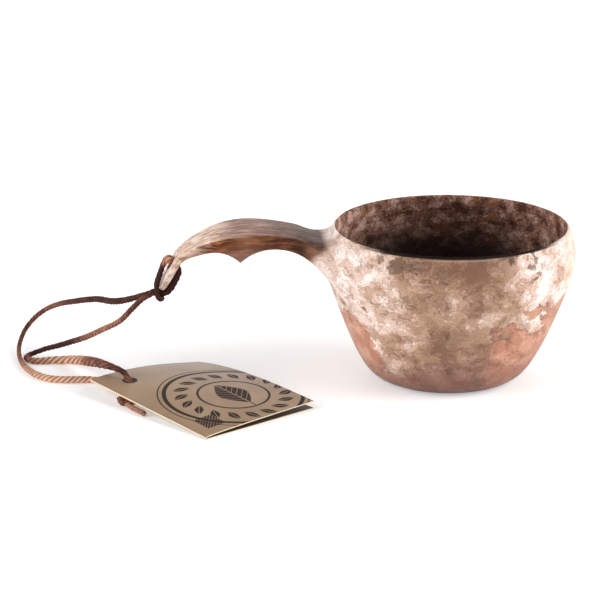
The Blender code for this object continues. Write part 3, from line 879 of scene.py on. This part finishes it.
def arm_wood(nodes):
    """The handle: streaks along it, darker on its sides and underside as painted shade, greyed where it
    meets the bowl and pale at its tip.
    """
    facing_up = nodes.attribute("facing_up")
    x, _, height = nodes.split(nodes.place())
    reach = nodes.times(x, -1)
    wavy = nodes.noise_vector(nodes.place(), 14, 5)
    stretched = nodes.vector("MULTIPLY", wavy, (0.16, 1, 1))
    grain = nodes.noise(stretched, 2, detail=5, rough=0.62)
    top = nodes.ramp(grain, [
        (0.33, 0.085, 0.04, 0.028), (0.46, 0.2, 0.105, 0.075), (0.56, 0.31, 0.178, 0.13),
        (0.69, 0.5, 0.32, 0.25)])
    low = nodes.ramp(grain, [
        (0.3, 0.028, 0.007, 0.003), (0.46, 0.105, 0.032, 0.012), (0.58, 0.29, 0.11, 0.045),
        (0.72, 0.55, 0.28, 0.15)])
    tip = nodes.ramp(grain, [
        (0.36, 0.33, 0.18, 0.115), (0.49, 0.72, 0.49, 0.365), (0.63, 0.95, 0.76, 0.64)])
    edge = nodes.varied(facing_up, (grain, 1.2))
    upward = nodes.spread(edge, 0, 0.4)
    # Faces turned up take the greyer top colours and faces turned sideways or down the more orange side
    # colours, which are darker as painted shade.
    colour = nodes.mix(upward, low, top)
    crease = nodes.times(nodes.spread(reach, 96, 84, 0, 0.6), band(nodes, edge, 0.05, 0.1, 0.12))
    colour = nodes.mix(crease, colour, (0.07, 0.03, 0.018))
    worn = nodes.times(nodes.spread(upward, 1, 0, 0, 0.4), band(nodes, reach, 85, 5, 8))
    colour = nodes.mix(worn, colour, (0.44, 0.215, 0.125))
    at_spur = nodes.times(nodes.spread(height, 61, 55, 0, 0.7), band(nodes, reach, 87.5, 8, 6))
    colour = nodes.mix(at_spur, colour, (0.35, 0.185, 0.15))
    at_root = nodes.times(nodes.spread(reach, 82, 60, 0, 0.76), nodes.spread(height, 51, 57))
    colour = nodes.mix(at_root, colour, (0.045, 0.021, 0.014))
    lower_side = nodes.larger(nodes.spread(height, 57.5, 52), nodes.spread(upward, 0.8, 0, 0, 0.85))
    below_root = nodes.times(nodes.spread(reach, 63, 56.5, 0, 0.45), lower_side)
    colour = nodes.mix(below_root, colour, (0.52, 0.26, 0.16))
    tip_start = nodes.spread(upward, 0, 1, 98, 88)
    past_start = nodes.minus(reach, tip_start)
    return nodes.mix(nodes.spread(past_start, 0, 14, 0, 0.92), colour, tip)


def wood_material():
    nodes = Surface("mottled_wood")
    inside = nodes.attribute("inside")
    arm = nodes.attribute("arm")
    place = nodes.place((1, 1, 1.35))
    bent = nodes.noise_vector(nodes.noise_vector(place, 8, 5), 1.6, 1.8)
    fine = nodes.noise(place, 1, detail=5, rough=0.7)
    outer, flakes = outer_wood(nodes, place, bent, fine)
    colour = nodes.mix(arm, outer, arm_wood(nodes))
    colour = nodes.mix(inside, colour, inner_wood(nodes, bent, fine))
    relief = nodes.bump(fine, 0.0003, 0.6)
    relief = nodes.bump(flakes, 0.00035, 0.7, relief)
    roughness = nodes.add(nodes.spread(fine, 0.3, 0.7, 0.36, 0.54, smooth=False),
                          nodes.times(inside, 0.15))
    specular = nodes.minus(0.35, nodes.times(inside, 0.27))
    specular = nodes.minus(specular, nodes.times(arm, 0.29))
    return nodes.finish(colour, roughness, relief, specular)


# ---- tag
TAG_LENGTH = 75 * MM
TAG_WIDTH = 57 * MM
CARD = 0.45 * MM
TAG_CORNER = Vector((-150.6, -14.9, 0)) * MM
TAG_TURN = math.radians(-53.5)
CORNER_LIFT = 5.6 * MM
LIFT_FADE = 1.3
LEAF_GAP = 0.35 * MM
LEAF_OPENING = (0.6 * MM, 2.2 * MM)
COVER_ARCH = 2.15 * MM
COVER_BOW = 2.4 * MM
TAG_HOLE = (11.5, 11.3)
TAG_HOLE_RADIUS = 3.3 * MM
TAG_GRID = (150, 114)
SPINE_STEPS = 60
SPINE_CORNERS = 12
SPINE_REACH = 0.9             # how far the fold stands out, as a share of half its height
SPINE_SHARE = 0.95            # its thickness as a share of the card's


def leaf_height(along, across):
    lift = CORNER_LIFT * (1 - along / TAG_LENGTH) * (1 - across / TAG_WIDTH) ** LIFT_FADE
    return CARD / 2 + lift


def cover_rise(along, across):
    down = along / TAG_LENGTH
    share = across / TAG_WIDTH
    corner, far_corner = LEAF_OPENING
    opening = corner * (1 - down) * (1 - (1 - share) ** 2) + far_corner * down * share ** 0.6
    arch = COVER_ARCH * math.sin(math.pi * share) * (1 - down) ** 0.8
    bow = COVER_BOW * share * math.sin(math.pi * down ** 0.8)
    return CARD + LEAF_GAP + opening + arch + bow


def tag_place(along, across, height):
    flat = TAG_CORNER + Matrix.Rotation(TAG_TURN, 3, "Z") @ Vector((along, across, 0))
    return Vector((flat.x, flat.y, height))


def leaf_sheet(name, is_cover):
    """One leaf as a fine sheet; its UV runs once along the fold and once away from it."""
    builder = bmesh.new()
    bmesh.ops.create_grid(builder, x_segments=TAG_GRID[0], y_segments=TAG_GRID[1], size=0.5)
    uv = builder.loops.layers.uv.new("leaf")
    for face in builder.faces:
        for loop in face.loops:
            loop[uv].uv = (loop.vert.co.x + 0.5, loop.vert.co.y + 0.5)
    for vert in builder.verts:
        along = (vert.co.x + 0.5) * TAG_LENGTH
        across = (vert.co.y + 0.5) * TAG_WIDTH
        height = leaf_height(along, across) + (cover_rise(along, across) if is_cover else 0)
        vert.co = tag_place(along, across, height)
    return finished(builder, name)


def tag_hole_cutter():
    builder = bmesh.new()
    bmesh.ops.create_cone(builder, cap_ends=True, segments=48, radius1=TAG_HOLE_RADIUS,
                          radius2=TAG_HOLE_RADIUS, depth=30 * MM)
    cutter = link("tag_hole_cutter", finished(builder, "tag_hole_cutter"))
    cutter.location = tag_place(TAG_HOLE[0] * MM, TAG_HOLE[1] * MM, 0)
    return cutter


def make_leaf(name, is_cover, cutter, surfaces, body, node):
    """surfaces are those of the leaf's upper face, its cut edge and its lower face."""
    leaf = link(name, leaf_sheet(name, is_cover), surfaces)
    shell = leaf.modifiers.new("card", "SOLIDIFY")
    shell.thickness = CARD
    shell.offset = 0
    shell.material_offset_rim = 1
    shell.material_offset = 2
    cut = leaf.modifiers.new("hole", "BOOLEAN")
    cut.object = cutter
    cut.operation = "DIFFERENCE"
    mesh = applied(leaf, name)
    bpy.data.objects.remove(leaf)
    mesh.set_sharp_from_angle(angle=math.radians(40))
    made = link(name, mesh)
    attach(made, body)
    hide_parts(node)


def card_base(nodes):
    """The kraft card's colour and fibre bump without any print."""
    place = nodes.place()
    fibre = nodes.noise(nodes.place((1, 1, 3)), 0.7, detail=5, rough=0.7)
    cloud = nodes.noise(place, 14, detail=2)
    blend = nodes.add(nodes.times(fibre, 0.6), nodes.times(cloud, 0.4))
    base = nodes.ramp(blend, [
        (0.3, 0.21, 0.122, 0.058), (0.5, 0.3, 0.182, 0.094), (0.72, 0.38, 0.25, 0.145)])
    fleck = nodes.spread(nodes.noise(place, 0.45, detail=2), 0.68, 0.78, 0, 0.35)
    base = nodes.mix(fleck, base, (0.2, 0.12, 0.07))
    return base, nodes.bump(fibre, 0.00008, 0.6)


def plain_card():
    nodes = Surface("kraft_card")
    base, relief = card_base(nodes)
    return nodes.finish(base, 0.62, relief, 0.3)


def gap_shade_card():
    """The inside faces of the tag, darkened to dark brown all over as painted shade in the gap between the
    leaves.
    """
    nodes = Surface("kraft_card_gap_shade")
    base, relief = card_base(nodes)
    return nodes.finish(nodes.mix(0.82, base, (0.045, 0.022, 0.018)), 0.55, relief, 0.3)


def cut_card():
    nodes = Surface("kraft_card_cut")
    layers = nodes.noise(nodes.place((1, 1, 8)), 0.8, detail=3)
    colour = nodes.ramp(layers, [(0.3, 0.55, 0.42, 0.29), (0.7, 0.8, 0.69, 0.53)])
    return nodes.finish(colour, 0.8, None, 0.2)


def fold_card():
    """The folded edge: kraft card, worn pale along the middle of the fold."""
    nodes = Surface("kraft_card_fold")
    base, relief = card_base(nodes)
    worn = nodes.spread(nodes.size(nodes.normal_height()), 0.65, 0.3, 0, 0.9)
    return nodes.finish(nodes.mix(worn, base, (0.8, 0.66, 0.5)), 0.65, relief, 0.25)


EMBLEM = (50, 35)         # centre of the rings on the cover in mm: along the fold, away from it
INK = (0.018, 0.008, 0.008)


def ellipse(nodes, x, y, half_x, half_y):
    """1 inside a pointed leaf shape, half_y long each way and half_x wide."""
    along = nodes.math("DIVIDE", nodes.size(y), half_y)
    width = nodes.minus(1, nodes.math("POWER", along, 1.6))
    across = nodes.math("DIVIDE", nodes.size(x), half_x)
    return nodes.spread(nodes.minus(width, across), -0.06, 0.06)


def wreath(nodes, angle, radius, ring_radius, count):
    """A ring of small slanted leaves."""
    turns = nodes.times(angle, count / (2 * math.pi))
    local = nodes.minus(nodes.fraction(nodes.add(turns, 100)), 0.5)
    x = nodes.times(local, 2 * math.pi * ring_radius / count)
    y = nodes.minus(radius, ring_radius)
    slant = math.radians(38)
    turned_x = nodes.minus(nodes.times(x, math.cos(slant)), nodes.times(y, math.sin(slant)))
    turned_y = nodes.add(nodes.times(x, math.sin(slant)), nodes.times(y, math.cos(slant)))
    leaf = ellipse(nodes, turned_x, turned_y, 1.9, 4.1)
    rib = band(nodes, turned_x, 0, 0.14, 0.06)
    return nodes.times(leaf, nodes.minus(1, rib))


def leaf_mark(nodes, x, y):
    """A single leaf with a middle rib, slanting veins and a stem."""
    leaf = ellipse(nodes, x, nodes.minus(y, 0.5), 6.8, 11.6)
    slant = nodes.minus(nodes.size(x), y)
    veins = nodes.fraction(nodes.add(nodes.math("DIVIDE", slant, 3.2), 20))
    ribs = nodes.larger(band(nodes, x, 0, 0.22, 0.08), band(nodes, veins, 0.5, 0.05, 0.03))
    stem = nodes.times(band(nodes, x, 0, 0.32), band(nodes, y, -12.4, 1.6))
    return nodes.larger(nodes.times(leaf, nodes.minus(1, ribs)), stem)


def hatched_square(nodes, along, across):
    square = nodes.times(band(nodes, along, 65, 4.9), band(nodes, across, 9.6, 4.6))
    hatch = 0
    for slant in (nodes.add(along, across), nodes.add(nodes.minus(along, across), 99)):
        stripes = nodes.fraction(nodes.times(slant, 0.62))
        hatch = nodes.larger(hatch, band(nodes, stripes, 0.5, 0.27, 0.06))
    return nodes.times(square, hatch)


def printed_card():
    """The cover: rings, a wreath, a single leaf and a hatched square on kraft card."""
    nodes = Surface("kraft_card_printed")
    base, relief = card_base(nodes)
    u, v, _ = nodes.split(nodes.output("ShaderNodeUVMap", uv_map="leaf"))
    along = nodes.times(u, TAG_LENGTH / MM)
    across = nodes.times(v, TAG_WIDTH / MM)
    x = nodes.minus(across, EMBLEM[1])
    y = nodes.minus(EMBLEM[0], along)
    radius = nodes.math("SQRT", nodes.add(nodes.times(x, x), nodes.times(y, y)))
    ink = wreath(nodes, nodes.math("ARCTAN2", y, x), radius, 21.8, 18)
    for ring_radius, half_width in ((28.6, 0.85), (31.3, 0.28), (14.8, 0.5)):
        ink = nodes.larger(ink, band(nodes, radius, ring_radius, half_width))
    ink = nodes.larger(ink, leaf_mark(nodes, x, y))
    ink = nodes.larger(ink, hatched_square(nodes, along, across))

    worn = nodes.spread(nodes.noise(nodes.place(), 0.5, detail=3), 0.25, 0.5, 0.86, 0.98)
    upper = nodes.spread(nodes.normal_height(), 0, 0.2)
    amount = nodes.times(nodes.times(ink, worn), upper)
    colour = nodes.mix(amount, base, INK)
    roughness = nodes.spread(amount, 0, 1, 0.42, 0.6, smooth=False)
    specular = nodes.spread(amount, 0, 1, 0.42, 0.1, smooth=False)
    return nodes.finish(colour, roughness, relief, specular)


def spine_ring(builder, along):
    """One cross-section of the fold: half an oval, as thick as the card."""
    low = leaf_height(along, 0) - CARD / 2
    high = leaf_height(along, 0) + cover_rise(along, 0) + CARD / 2
    middle, reach = (low + high) / 2, (high - low) / 2
    ring = []
    for radius, first, turn in ((reach, 0.5, 1), (reach - CARD * SPINE_SHARE, 1.5, -1)):
        for corner in range(SPINE_CORNERS + 1):
            angle = math.pi * (first + turn * corner / SPINE_CORNERS)
            across = radius * SPINE_REACH * math.cos(angle)
            ring.append(builder.verts.new(tag_place(along, across, middle + radius * math.sin(angle))))
    return ring


def make_spine(surface):
    """The fold: a thin rounded strip that joins the two leaves along their inner edges."""
    builder = bmesh.new()
    rings = [spine_ring(builder, TAG_LENGTH * step / SPINE_STEPS) for step in range(SPINE_STEPS + 1)]
    closed_tube(builder, rings)
    bmesh.ops.recalc_face_normals(builder, faces=builder.faces)
    mesh = finished(builder, "tag_spine")
    mesh.shade_smooth()
    spine = link("tag_spine", mesh, [surface])
    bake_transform(spine)


def make_tag():
    plain, cut, printed, gap_shade = plain_card(), cut_card(), printed_card(), gap_shade_card()
    cutter = tag_hole_cutter()
    # The leaves' inner faces carry painted shade for the gap between them.
    make_leaf("card_back_leaf", False, cutter, (gap_shade, cut, plain), "tag", "tag_back_leaf")
    make_leaf("card_cover_leaf", True, cutter, (printed, cut, gap_shade), "tag_cover", "tag_cover_leaf")
    bpy.data.objects.remove(cutter)
    make_spine(fold_card())


# ---- floor and light
WHITE = (1, 1, 1, 1)
SKY_LIGHT = 0.07
BACKDROP_LIGHT = 1
HORIZON_FADE = (0.1, 0.3)   # height of the view direction where the backdrop gives way to the sky
FLOOR_GLOW = 0.36             # the floor is a light table, lit a little from below
FLOOR_HALF = 6
FLOOR_GAP = 0.02 * MM
# Name, azimuth and elevation it comes from, strength and angular size in degrees.
SUNS = (("key_right", 76, 28, 3.3, 50),
        ("fill_left", -76, 25, 2.7, 60),
        ("backdrop", 178, 24, 0.9, 60))


def make_floor():
    builder = bmesh.new()
    bmesh.ops.create_grid(builder, x_segments=1, y_segments=1, size=FLOOR_HALF)
    mesh = finished(builder, "floor")
    nodes = Surface("pale_floor")
    nodes.feed(nodes.surface.inputs["Emission Color"], WHITE)
    nodes.feed(nodes.surface.inputs["Emission Strength"], FLOOR_GLOW)
    floor = link("floor", mesh, [nodes.finish((0.8, 0.8, 0.8, 1), 0.7, None, 0.2)])
    floor.location.z = -FLOOR_GAP


def soft_sun(name, azimuth, elevation, strength, spread):
    """A large soft light from a compass azimuth (0 = from the camera's side, 90 = from +X)."""
    data = bpy.data.lights.new(name, "SUN")
    data.energy = strength
    data.angle = math.radians(spread)
    light = link(name, data)
    turn, tilt = math.radians(azimuth), math.radians(elevation)
    towards = Vector((math.sin(turn) * math.cos(tilt), -math.cos(turn) * math.cos(tilt), math.sin(tilt)))
    light.rotation_euler = towards.to_track_quat("Z", "Y").to_euler()


def make_world():
    """A dim studio above a bright backdrop that stands all round the horizon."""
    world = bpy.data.worlds.new("studio")
    world.use_nodes = True
    nodes = Nodes(world.node_tree)
    height = nodes.split(nodes.node("ShaderNodeTexCoord").outputs["Generated"])[2]
    background = nodes.tree.nodes["Background"]
    nodes.feed(background.inputs["Color"], WHITE)
    strength = nodes.spread(height, *HORIZON_FADE, BACKDROP_LIGHT, SKY_LIGHT)
    nodes.feed(background.inputs["Strength"], strength)
    bpy.context.scene.world = world


def make_light():
    make_world()
    for light in SUNS:
        soft_sun(*light)


# ---- build
bpy.context.scene.view_settings.view_transform = "Standard"
make_camera()
make_cord(twine_material())
make_cup(wood_material())
make_tag()
make_floor()
make_light()
